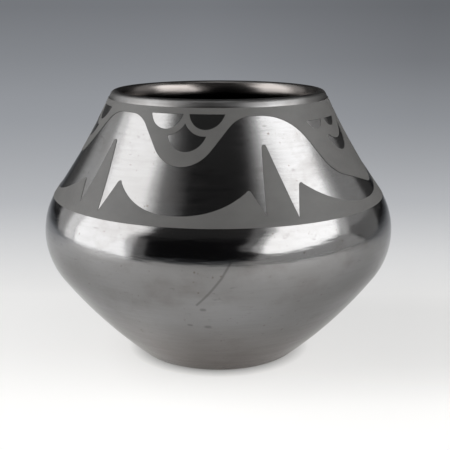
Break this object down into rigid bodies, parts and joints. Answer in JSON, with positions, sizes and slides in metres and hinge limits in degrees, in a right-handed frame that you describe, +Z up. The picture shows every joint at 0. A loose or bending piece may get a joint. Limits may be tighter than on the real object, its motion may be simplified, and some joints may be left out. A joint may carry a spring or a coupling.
{
  "type": "pottery jar",
  "caption": "Round-bellied coiled jar on a small flat foot, with a wide open mouth, a burnished black slip and a matt painted band of rain clouds and points round its hollow shoulder.",
  "frame": {"origin": "on the jar's axis, at the underside of the flat foot", "axes": "+Z up along the axis, out of the mouth; the pictured side faces -Y"},
  "size_m": [0.184, 0.184, 0.1402],
  "materials": {
    "fired_clay": "smoothed, smoke blackened",
    "burnished_slip": "stone polished to a near mirror",
    "matt_paint": "matt"
  },
  "bodies": {
    "root": {"puki_base": "fired_clay", "coil_1": "fired_clay", "coil_2": "fired_clay", "coil_3": "fired_clay", "coil_4": "fired_clay", "coil_5": "fired_clay", "coil_6": "fired_clay", "rim_coil": "fired_clay", "polished_slip": "burnished_slip", "lower_band": "matt_paint", "upper_band": "matt_paint", "wave_1": "matt_paint", "wave_2": "matt_paint", "wave_3": "matt_paint", "wave_4": "matt_paint", "wave_5": "matt_paint", "cloud_1": "matt_paint", "cloud_2": "matt_paint", "cloud_3": "matt_paint", "cloud_4": "matt_paint", "cloud_5": "matt_paint"}
  },
  "joints": []
}
